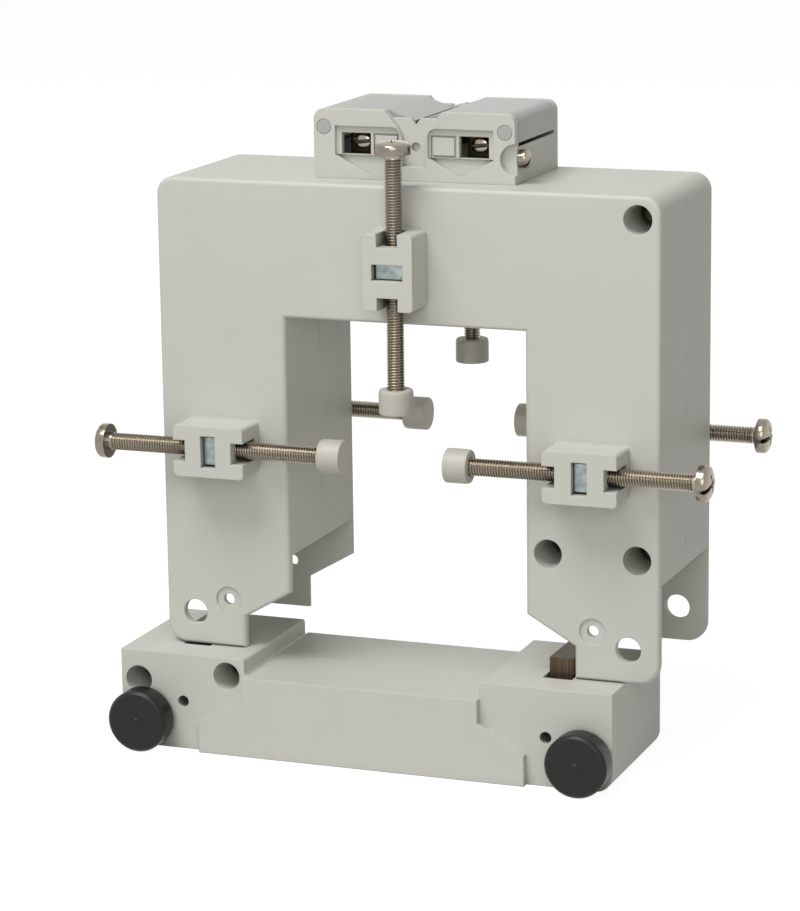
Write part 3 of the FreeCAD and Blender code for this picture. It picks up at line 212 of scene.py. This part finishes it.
def finish(name, colour, roughness, radius=0.35, grain=1800.0, bump=0.05, mottle=0.03, mottle_scale=60.0,
           edge_wear_and_highlight=0.06, metallic=0.0, specular=0.5, groove=0.0, recess_shade_amount=0.0):
    """A moulded or metal finish: the base colour times the mottle tone, a little lighter and smoother along
    the edges, with the grain as a bump over the rounded-edge normal. The lighter edges are edge wear, and on
    the knobs, which take a strong share, a painted highlight. A groove value takes tone away as painted
    shade where the piece's layer attribute says that the surface lies sunken, and the recess value does so
    down in wells and slots, as painted shade too."""
    material, tree, shader = new_material(name, colour, roughness, metallic, specular=specular)
    grained = placed_group(tree, GRAIN, Grain_Scale=grain, Mottle=mottle, Mottle_Scale=mottle_scale)
    edged = placed_group(tree, SOFT_EDGE, Radius=radius * MM)
    # Lighter edges: edge wear, and on the knobs a painted highlight.
    lighter_edge = add(tree, "Math", operation="MULTIPLY_ADD", _1=edge_wear_and_highlight)
    tint = add(tree, "VectorMath", operation="SCALE")
    tint.inputs[0].default_value = linear(colour)[:3]
    rough = add(tree, "Math", operation="MULTIPLY_ADD", _1=EDGE_ROUGH, _2=roughness)
    relief = add(tree, "Bump", Strength=bump, Distance=0.0001)
    # Painted shade in the screws' slots, crosses and thread grooves: the layer attribute times the groove
    # value is taken off the tone.
    groove_shade_share = add(tree, "Attribute", attribute_name="layer")
    left = add(tree, "Math", operation="MULTIPLY_ADD", _1=-groove)
    # Painted shade down in wells and slots: the base colour falls with the recess mask.
    if recess_shade_amount:
        recess_shade_mask = placed_group(tree, RECESS_SHADE, Reach=RECESS_SHADE_REACH)
        lit = add(tree, "Math", operation="MULTIPLY_ADD", _1=-recess_shade_amount, _2=1.0)
        kept = add(tree, "Math", operation="MULTIPLY")
        join(tree, (recess_shade_mask.outputs["Mask"], lit.inputs[0]), (lit.outputs[0], kept.inputs[0]),
             (left.outputs[0], kept.inputs[1]))
    join(tree, (edged.outputs["Edge"], lighter_edge.inputs[0]), (grained.outputs["Tone"], lighter_edge.inputs[2]),
         (groove_shade_share.outputs["Fac"], left.inputs[0]), (lighter_edge.outputs[0], left.inputs[2]),
         ((kept if recess_shade_amount else left).outputs[0], tint.inputs["Scale"]),
         (tint.outputs[0], shader.inputs["Base Color"]),
         (edged.outputs["Edge"], rough.inputs[0]), (rough.outputs[0], shader.inputs["Roughness"]),
         (grained.outputs["Height"], relief.inputs["Height"]),
         (edged.outputs["Normal"], relief.inputs["Normal"]),
         (relief.outputs[0], shader.inputs["Normal"]))
    return material


def wound_strip(name, colour):
    """Annealed steel strip, wound: each layer has its own tone and a rounded edge."""
    material, tree, shader = new_material(name, colour, 0.42, metallic=0.75)
    layers = placed_group(tree, LAYERS, Layers=26.0)
    tint = add(tree, "VectorMath", operation="SCALE")
    tint.inputs[0].default_value = linear(colour)[:3]
    relief = add(tree, "Bump", Strength=0.7, Distance=0.0002)
    join(tree, (layers.outputs["Tone"], tint.inputs["Scale"]),
         (tint.outputs[0], shader.inputs["Base Color"]),
         (layers.outputs["Height"], relief.inputs["Height"]), (relief.outputs[0], shader.inputs["Normal"]))
    return material


def wound_wire(name, colour):
    """Turns of enamelled wire: bands along the height, with a tone that wanders between turns."""
    material, tree, shader = new_material(name, colour, 0.3, metallic=0.6, coat=0.4)
    place = add(tree, "TexCoord")
    turns = add(tree, "TexWave", wave_type="BANDS", bands_direction="Z", Scale=700.0, Distortion=0.6)
    relief = add(tree, "Bump", Strength=0.8, Distance=0.0003)
    tone = add(tree, "MapRange", To_Min=0.75, To_Max=1.1)
    tint = add(tree, "VectorMath", operation="SCALE")
    tint.inputs[0].default_value = linear(colour)[:3]
    join(tree, (place.outputs["Object"], turns.inputs["Vector"]),
         (turns.outputs["Fac"], relief.inputs["Height"]),
         (turns.outputs["Fac"], tone.inputs["Value"]), (tone.outputs["Result"], tint.inputs["Scale"]),
         (tint.outputs[0], shader.inputs["Base Color"]), (relief.outputs[0], shader.inputs["Normal"]))
    return material


MATERIALS = {
    # The housing and cover mouldings are darkened with painted shade down in wells and slots.
    "housing_plastic": finish("Grey Housing Moulding", HOUSING_GREY, 0.52, radius=0.5, bump=0.06, recess_shade_amount=0.75),
    "cover_plastic": finish("Grey Cover Moulding", COVER_GREY, 0.38, radius=0.4, bump=0.03, recess_shade_amount=0.5),
    "cap_plastic": finish("Grey Cap Moulding", CAP_GREY, 0.45, radius=0.25, bump=0.02),
    # The knob's strong edge lightening is a painted highlight on its rims.
    "knob_plastic": finish("Black Knob Moulding", KNOB_BLACK, 0.38, radius=0.25, grain=1400.0,
                           bump=0.2, mottle=0.9, mottle_scale=1100.0, edge_wear_and_highlight=0.8, specular=0.34),
    # The screws are darkened with painted shade in their slots, crosses and thread grooves, and round the
    # head's rim and side.
    "screw_steel": finish("Nickel Plated Screw", NICKEL, 0.19, radius=0.1, grain=900.0, bump=0.03,
                          mottle=0.10, metallic=1.0, groove=0.8),
    "nut_steel": finish("Zinc Plated Nut", ZINC, 0.34, radius=0.25, grain=600.0, bump=0.08,
                        mottle=1.6, mottle_scale=420.0, metallic=1.0),
    "core_steel": wound_strip("Wound Core Strip", CORE_BROWN),
    "bobbin_plastic": finish("Cream Bobbin Moulding", BOBBIN_CREAM, 0.5),
    "winding_copper": wound_wire("Enamelled Copper Turns", COPPER),
    "insert_brass": finish("Turned Brass", BRASS_DARKENED_WITH_SHADE, 0.28, radius=0.15, mottle=0.08, metallic=1.0),
}


# Pieces made of surfaces, in millimetres

DRESSED = set()      # the CAD nodes that a new piece takes the place of


def in_scene(name, data):
    """An object for a mesh, a lamp or a camera, linked into the scene."""
    made = bpy.data.objects.new(name, data)
    bpy.context.scene.collection.objects.link(made)
    return made


def wrapped_faces(rows, columns, start):
    """The quads of a grid whose columns close into a ring: each corner's index is its row times the
    number of columns plus its column, the next column counted round, and the start is added."""
    row, column = np.meshgrid(np.arange(rows - 1), np.arange(columns), indexing="ij")
    following = (column + 1) % columns
    corners = (row * columns + column, row * columns + following,
               (row + 1) * columns + following, (row + 1) * columns + column)
    return np.stack(corners, -1).reshape(-1, 4) + start


def new_piece(name, grids, material, body, replaced, layers=None):
    """One mesh from closed-ring grids of points, poles merged and faces turned outwards. Layers are one
    number for each point, which the material reads: on the screws the share of painted shade, on the wound
    cores the share of the way across the strip."""
    points = np.concatenate([grid.reshape(-1, 3) for grid in grids])
    starts = np.cumsum([0] + [grid.shape[0] * grid.shape[1] for grid in grids[:-1]])
    faces = np.concatenate([wrapped_faces(grid.shape[0], grid.shape[1], start)
                            for grid, start in zip(grids, starts)])
    mesh = bpy.data.meshes.new(name)
    mesh.from_pydata((points * MM).tolist(), [], faces.tolist())
    if layers is not None:
        numbers = np.concatenate([np.ravel(layer) for layer in layers]).astype(np.float32)
        mesh.attributes.new("layer", "FLOAT", "POINT").data.foreach_set("value", numbers)
    close_up(mesh)
    piece = in_scene(name, mesh)
    mesh.materials.append(MATERIALS[material])
    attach(piece, body)
    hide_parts(*replaced)
    DRESSED.update(replaced)


def close_up(mesh):
    """Merges doubled points and poles, turns the faces outwards, and shades the mesh."""
    work = bmesh.new()
    work.from_mesh(mesh)
    bmesh.ops.remove_doubles(work, verts=work.verts, dist=SURFACE_MERGE)
    bmesh.ops.recalc_face_normals(work, faces=work.faces)
    work.to_mesh(mesh)
    work.free()
    shade(mesh, sharp=32)


def shade(mesh, sharp):
    """Shades a mesh smooth, apart from the edges that turn by more than the sharp angle in degrees."""
    mesh.shade_smooth()
    mesh.set_sharp_from_angle(angle=math.radians(sharp))


def lathe(profile, around=64):
    """A profile of (radius, height) carried round the Z axis: radius times cosine and sine."""
    profile = np.array(profile, float)
    angle = np.arange(around) / around * TURN
    radius, height = profile[:, :1], profile[:, 1:]
    return np.stack([radius * np.cos(angle), radius * np.sin(angle), height + 0 * angle], -1)


def rounded(profile, radius, steps=4):
    """A profile of straight runs with each inner corner swapped for a quadratic curve that starts
    and ends one radius, or half a run, away from the corner."""
    points = np.array(profile, float)
    rows = [points[:1]]
    share = np.linspace(0, 1, steps + 1)[:, None]
    for before, corner, after in zip(points, points[1:], points[2:]):
        back, ahead = before - corner, after - corner
        reach = min(radius, np.linalg.norm(back) / 2, np.linalg.norm(ahead) / 2)
        start = corner + back / np.linalg.norm(back) * reach
        end = corner + ahead / np.linalg.norm(ahead) * reach
        rows.append(start * (1 - share) ** 2 + corner * 2 * share * (1 - share) + end * share ** 2)
    return np.concatenate(rows + [points[-1:]])


def stood(points, node, direction):
    """Turns points so that their Z axis runs along the direction, and starts them at the end of the
    node's box, on its middle line."""
    low, high = (np.array(corner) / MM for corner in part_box(node))
    ahead = np.array(direction, float)
    side = np.array((0.0, 1.0, 0.0)) if abs(ahead[1]) < 0.5 else np.array((1.0, 0.0, 0.0))
    turned = np.stack([np.cross(side, ahead), side, ahead])
    start = (low + high) / 2 - ahead * (abs(ahead) @ (high - low)) / 2
    return points @ turned + start


def smooth_step(value, low, high):
    """Nought up to low and one from high. Between them, the share of the way squared, times three
    less twice the share."""
    share = np.clip((value - low) / (high - low), 0, 1)
    return share * share * (3 - 2 * share)


def screw_head(radius, high, slot_wide, slot_deep, cross_long, cross_deep, shank, twist, around=128):
    """A pan head from above: rings of growing radius on a superellipse dome, pushed down where a ring's
    point lies within the slot or within the cross, then its side and underside. The second array is painted
    light: the share of the deepest recess at each point, as painted shade in the slot and cross, and a
    smaller share round the rim and over the side and underside, as painted dark reflection."""
    crown_deep = high * 0.48      # how far the dome falls to the rim
    soft = 0.14                   # half the width of the slope at a recess's lip
    # The rim and sides take a share of the painted shade as painted dark reflection.
    rim_side_darkening = 0.34                   # the share of the recess's tone that the rim and sides take
    rings, crowding = 46, 0.85    # the crown's rings lie closer together towards the rim
    ring = radius * np.linspace(0, 1, rings)[:, None] ** crowding
    angle = np.arange(around) / around * TURN
    x, y = ring * np.cos(angle), ring * np.sin(angle)
    dome = crown_deep * (1 - (1 - np.clip(ring / radius, 0, 1) ** 2.6) ** (1 / 2.2)) + 0 * angle

    def inside(along, across, half_long, half_wide):
        """One within a bar's half length and half width, falling softly to nought outside."""
        return (1 - smooth_step(abs(across), half_wide - soft, half_wide + soft)) * (
            1 - smooth_step(abs(along), half_long - soft, half_long + soft))

    cross_wide = slot_wide * 0.42
    slot = inside(x, y, radius * 2, slot_wide / 2) * slot_deep
    cross = np.maximum(inside(x, y, cross_long, cross_wide),
                       inside(y, x, cross_long, cross_wide)) * cross_deep
    recess = np.maximum(slot, cross)
    top = np.maximum(dome, recess)
    angle = angle + twist
    crown = np.stack([ring * np.cos(angle), ring * np.sin(angle), top], -1)
    side = rounded([(radius, crown_deep), (radius, high), (shank, high)], 0.15)[1:]
    side_angle = angle[None, :]
    lower = np.stack([side[:, :1] * np.cos(side_angle), side[:, :1] * np.sin(side_angle),
                      side[:, 1:] + 0 * side_angle], -1)
    # Painted dark reflection, growing towards the rim.
    rim_reflection_dark = rim_side_darkening * smooth_step(ring / radius, 0.8, 1.0) + 0 * angle
    painted_shade_share = np.maximum(np.clip(recess / max(slot_deep, cross_deep), 0, 1), rim_reflection_dark)
    return np.concatenate([crown, lower]), np.concatenate([painted_shade_share, rim_side_darkening + lower[..., 0] * 0])


def thread(radius, start, end, pitch=0.8, depth=0.45, around=40, plain=0.0):
    """A threaded shank: the radius drops by a clipped triangle wave of the height over the pitch less the
    share of a turn, faded in after the plain part and out at the tip, where the shank also tapers. The
    second array is that wave by itself, which the material uses as painted shade in the grooves."""
    rings_per_turn = 8
    tip_long, tip_drop = 0.6, 0.25
    height = np.linspace(start, end, int((end - start) / pitch * rings_per_turn))[:, None]
    angle = np.arange(around) / around * TURN
    phase = (height / pitch - angle / TURN) % 1.0
    groove = np.clip(abs(2 * phase - 1) * 1.5 - 0.25, 0, 1)
    fade_in = smooth_step(height, start + plain, start + plain + pitch)
    fade_out = 1 - smooth_step(height, end - pitch, end)
    fade = fade_in * fade_out
    across = radius - depth * groove * fade
    across = across - tip_drop * radius * smooth_step(height, end - tip_long, end)
    ring = np.stack([across * np.cos(angle), across * np.sin(angle), height + 0 * angle], -1)
    wave = groove * fade
    return np.concatenate([ring, ring[-1:] * (0, 0, 1)]), np.concatenate([wave, wave[-1:]])


CLAMP_AXES = {"left": (1, 0, 0), "right": (-1, 0, 0), "top": (0, 0, -1)}
TO_REAR = (0, 1, 0)
TO_LEFT = (-1, 0, 0)
BOLT_RADIUS = 2.5         # of the M5 clamp screws and knob studs
SOCKET_RADIUS = 2.55      # of the hole that takes such a shank
HEAD_HIGH = 3.7           # of a clamp screw
# THREAD_SHADE is the share of painted shade in a clamp screw's thread grooves.
THREAD_SHADE = 0.35       # how much of the groove tone a clamp screw's thread takes

# How far each clamp screw's head is turned, in radians
HEAD_TWIST = {"front_left": 0.5, "front_right": 1.25, "front_top": -0.3,
              "rear_left": 0.9, "rear_right": 1.45, "rear_top": 0.3}


def clamp_screw(place):
    """An M5 screw with a slotted cross recess, threaded up to its head."""
    node = "clamp_screw_" + place
    head, recess = screw_head(radius=5.0, high=HEAD_HIGH, slot_wide=1.15, slot_deep=2.1, cross_long=2.7,
                              cross_deep=2.6, shank=BOLT_RADIUS, twist=HEAD_TWIST[place])
    shank, groove_shade = thread(BOLT_RADIUS, start=HEAD_HIGH, end=73.7, plain=0.8)
    direction = CLAMP_AXES[place.split("_")[1]]
    grids = [stood(grid, node, direction) for grid in (head, shank)]
    new_piece("threaded_" + node, grids, "screw_steel", "clamp_" + place, [node],
              [recess, groove_shade * THREAD_SHADE])


def pressure_cap(place):
    """A moulded cap: a drum with a softened rim at both ends and a socket for the screw's tip."""
    node = "pressure_cap_" + place
    socket = [(0, 3.9), (SOCKET_RADIUS, 3.9), (SOCKET_RADIUS, 0)]
    drum = [(4.7, 0), (4.9, 1.2), (4.9, 7), (0, 7)]
    outline = rounded(socket + drum, radius=0.45, steps=5)
    direction = CLAMP_AXES[place.split("_")[1]]
    new_piece("moulded_" + node, [stood(lathe(outline), node, direction)], "cap_plastic",
              "clamp_" + place, [node])


def thumb_knob(side):
    """A smooth drum with a bevelled face, a small nub in its centre and a collar behind, and the
    threaded stud that it carries."""
    node = side + "_knob"
    nub = [(0, 0), (0.9, 0.05), (1.1, 0.42)]
    drum = [(7.4, 0.42), (8.3, 0.5), (9.1, 1.4), (9.1, 7.1), (8.6, 7.4)]
    collar = [(5.2, 7.4), (4.6, 7.6), (4.6, 9.2), (SOCKET_RADIUS, 9.2), (SOCKET_RADIUS, 7.6), (0, 7.6)]
    outline = rounded(nub + drum + collar, radius=0.28, steps=5)
    new_piece("moulded_" + node, [stood(lathe(outline, around=96), node, TO_REAR)], "knob_plastic",
              side + "_closing_knob", [node])
    stud = side + "_knob_stud"
    shank, groove_shade = thread(BOLT_RADIUS, start=0.0, end=15.0, plain=4.5)
    shank = np.concatenate([shank[:1] * 0, shank])
    new_piece("threaded_" + stud, [stood(shank, stud, TO_REAR)], "screw_steel",
              side + "_closing_knob", [stud], [groove_shade[:1] * 0, groove_shade])


def small_screw(node, body, direction, radius, high, shank, length, twist):
    """A small pan head screw with a single slot."""
    head, recess = screw_head(radius, high, slot_wide=0.8, slot_deep=high * 0.52, cross_long=0.1,
                              cross_deep=0.0, shank=shank, twist=twist)
    tail, groove_shade = thread(shank, start=high, end=length, pitch=0.5, depth=0.25, around=24)
    grids = [stood(grid, node, direction) for grid in (head, tail)]
    new_piece("slotted_" + node, grids, "screw_steel", body, [node], [recess, groove_shade])


def housing_screws(node, spots, middle):
    """Pan head screws in the wells: each spot is an X and Z, and the rear ones are the front ones
    turned half round the middle's X."""
    low, high = (np.array(corner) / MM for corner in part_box(node))
    head_high, shank = 2.6, 2.0
    head = screw_head(radius=3.6, high=head_high, slot_wide=0.9, slot_deep=0.0, cross_long=2.1,
                      cross_deep=1.7, shank=shank, twist=0.5, around=64)
    tail = thread(shank, start=head_high, end=17.6, pitch=1.2, depth=0.5, around=24)
    laid = np.array([(1.0, 0, 0), (0, 0, -1), (0, 1, 0)])
    grids, layers = [], []
    for grid, layer in (head, tail):
        for x, z in spots:
            grids.append(grid @ laid + (x, low[1], z))
            grids.append(grid @ laid * (-1, -1, 1) + (2 * middle - x, high[1], z))
            layers += [layer, layer]
    new_piece("recessed_" + node, grids, "screw_steel", "transformer", [node], layers)


def wound_core(node, opens_up):
    """A C wound from strip: for each step along the C, a rectangle from the outer path to the inner
    path, its share of the way across kept as the layer, closed at both ends on its middle line."""
    thick, outer_bend, inner_bend = 7.0, 9, 2
    low, high = (np.array(corner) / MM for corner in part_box(node))
    foot, far, inward = (high[2], low[2], thick) if opens_up else (low[2], high[2], -thick)
    outer = rounded([(low[0], foot), (low[0], far), (high[0], far), (high[0], foot)],
                    radius=outer_bend, steps=8)
    inner = rounded([(low[0] + thick, foot), (low[0] + thick, far + inward),
                     (high[0] - thick, far + inward), (high[0] - thick, foot)],
                    radius=inner_bend, steps=8)
    across = np.linspace(0, 1, 14)
    share = np.concatenate([across, across[::-1]])
    depth = np.repeat([low[1], high[1]], len(across))
    place = outer[:, None] * (1 - share[:, None]) + inner[:, None] * share[:, None]
    grid = np.stack([place[..., 0], depth + 0 * place[..., 0], place[..., 1]], -1)
    middle = (1, 0, 1) * grid[[0, -1]] + (0, (low[1] + high[1]) / 2, 0)
    grid = np.concatenate([middle[:1], grid, middle[1:]])
    new_piece("wound_" + node, [grid], "core_steel", "transformer", [node],
              [np.tile(share, len(grid))])


def smooth_copy(node, name, body, material):
    """A copy of a solid with its doubled points merged and its curved walls shaded smooth."""
    work = bmesh.new()
    work.from_mesh(frame["nodes"][node].data)
    bmesh.ops.remove_doubles(work, verts=work.verts, dist=SOLID_MERGE)
    work.verts.index_update()
    mesh = bpy.data.meshes.new(name)
    mesh.from_pydata([point.co[:] for point in work.verts], [],
                     [[point.index for point in face.verts] for face in work.faces])
    work.free()
    shade(mesh, sharp=28)
    mesh.materials.append(MATERIALS[material])
    piece = in_scene(name, mesh)
    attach(piece, body)
    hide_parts(node)


def body_of_node(node):
    """The body that the record puts a node on."""
    return next(body for body, nodes in frame["record"]["behaviour"]["bodies"].items() if node in nodes)


SLOTS = {row["node"]: row["material_slot"] for row in frame["record"]["subparts"]}
for place in HEAD_TWIST:
    clamp_screw(place)
    pressure_cap(place)
for side in ("left", "right"):
    thumb_knob(side)
    small_screw(side + "_terminal_screw", side + "_wire_screw", TO_REAR,
                radius=2.7, high=2.0, shank=1.5, length=8.0, twist=1.45)
small_screw("side_fixing_screw", "transformer", TO_LEFT,
            radius=2.6, high=3.2, shank=1.5, length=10.2, twist=0.8)
wound_core("upper_core", opens_up=False)
wound_core("bar_core", opens_up=True)
housing_screws("upper_housing_screws", [(78.5, 159.5), (78.5, 64.2), (52.5, 64.2)], middle=10)
housing_screws("bar_housing_screws", [(-69.5, 19.6), (-41.6, 23.0)], middle=0)
for node in sorted(set(frame["nodes"]) - DRESSED):
    smooth_copy(node, "finished_" + node, body_of_node(node), SLOTS[node])


# Floor, light and camera, in metres

FLOOR_HALF = 6.0                      # half the floor's width
FLOOR_BARE = (0.59, 0.58, 0.555, 1)   # the floor as the light meets it
FLOOR_SEEN = (0.22, 0.22, 0.22, 1)    # the floor's share of colour when it is seen, for its shadow
FLOOR_GLOW = 0.92                     # the rest of it, close to white
WORLD_COLOUR = (1.0, 0.972, 0.925, 1)
WORLD_LIGHT = 0.185
AIM = (0, 0, 0.08)                    # where the lamps point
EYE = (0.3452, -0.8834, 0.3005)       # where the camera stands
YAW, PITCH, ROLL = 21.109, 12.727, -0.762
LENS, SENSOR = 134.07, 36             # in millimetres


def floor():
    """A wide pale floor. Seen straight or in a gloss it is nearly white, and it keeps the shadow."""
    mesh = bpy.data.meshes.new("floor")
    corners = [(across * FLOOR_HALF, along * FLOOR_HALF, 0)
               for across, along in ((-1, -1), (1, -1), (1, 1), (-1, 1))]
    mesh.from_pydata(corners, [], [(0, 1, 2, 3)])
    plane = in_scene("floor", mesh)
    material = bpy.data.materials.new("Pale Floor")
    material.use_nodes = True
    tree = material.node_tree
    tree.nodes.clear()
    bare = add(tree, "BsdfDiffuse", Color=FLOOR_BARE)
    partly = add(tree, "BsdfDiffuse", Color=FLOOR_SEEN)
    glow = add(tree, "Emission", Strength=FLOOR_GLOW)
    seen = add(tree, "AddShader")
    result = add(tree, "MixShader")
    out = add(tree, "OutputMaterial")
    join(tree, (partly.outputs[0], seen.inputs[0]), (glow.outputs[0], seen.inputs[1]),
         (seen_ray(tree), result.inputs[0]), (bare.outputs[0], result.inputs[1]),
         (seen.outputs[0], result.inputs[2]), (result.outputs[0], out.inputs["Surface"]))
    mesh.materials.append(material)


def seen_ray(tree):
    """One for a camera, glossy or transmission ray, and nought for the others."""
    ray = add(tree, "LightPath")
    first = add(tree, "Math", operation="MAXIMUM")
    both = add(tree, "Math", operation="MAXIMUM")
    join(tree, (ray.outputs["Is Camera Ray"], first.inputs[0]),
         (ray.outputs["Is Glossy Ray"], first.inputs[1]),
         (first.outputs[0], both.inputs[0]), (ray.outputs["Is Transmission Ray"], both.inputs[1]))
    return both.outputs[0]


def surroundings():
    """White to the eye and in glosses, and a weaker even grey as light."""
    world = bpy.data.worlds.new("Studio")
    bpy.context.scene.world = world
    world.use_nodes = True
    tree = world.node_tree
    tree.nodes.clear()
    even = add(tree, "Background", Color=WORLD_COLOUR, Strength=WORLD_LIGHT)
    white = add(tree, "Background", Color=(1, 1, 1, 1), Strength=1.0)
    result = add(tree, "MixShader")
    out = add(tree, "OutputWorld")
    join(tree, (seen_ray(tree), result.inputs[0]), (even.outputs[0], result.inputs[1]),
         (white.outputs[0], result.inputs[2]), (result.outputs[0], out.inputs["Surface"]))


def softbox(name, place, width, height, power, colour=(1, 1, 1)):
    """A rectangular lamp that points at the object."""
    light = bpy.data.lights.new(name, "AREA")
    light.shape = "RECTANGLE"
    light.size, light.size_y = width, height
    light.energy = power
    light.color = colour
    lamp = in_scene(name, light)
    lamp.location = place
    lamp.rotation_euler = (Vector(AIM) - Vector(place)).to_track_quat("-Z", "Y").to_euler()


def camera():
    """Stands and looks as was fitted to the object's straight edges: the yaw turns the view from +Y
    towards -X, the pitch tips it down, and the roll tilts it about the direction it looks in."""
    yaw, pitch, roll = (math.radians(angle) for angle in (YAW, PITCH, ROLL))
    ahead = Vector((-math.sin(yaw) * math.cos(pitch), math.cos(yaw) * math.cos(pitch), -math.sin(pitch)))
    right = Vector((math.cos(yaw), math.sin(yaw), 0))
    up = right.cross(ahead)
    tilted_right = right * math.cos(roll) + up * math.sin(roll)
    tilted_up = up * math.cos(roll) - right * math.sin(roll)
    data = bpy.data.cameras.new("camera")
    data.sensor_width = SENSOR
    data.lens = LENS
    data.clip_start, data.clip_end = 0.05, 50
    eye = in_scene("camera", data)
    turned = Matrix((tilted_right, tilted_up, -ahead)).transposed().to_4x4()
    eye.matrix_world = Matrix.Translation(EYE) @ turned
    bpy.context.scene.camera = eye


floor()
surroundings()
softbox("key", place=(-0.36, -0.85, 1.75), width=1.1, height=1.0, power=25.5, colour=(1.0, 0.99, 0.965))
softbox("front", place=(0.5, -1.65, 0.8), width=1.2, height=1.0, power=10)
camera()
bpy.context.scene.view_settings.view_transform = "Standard"
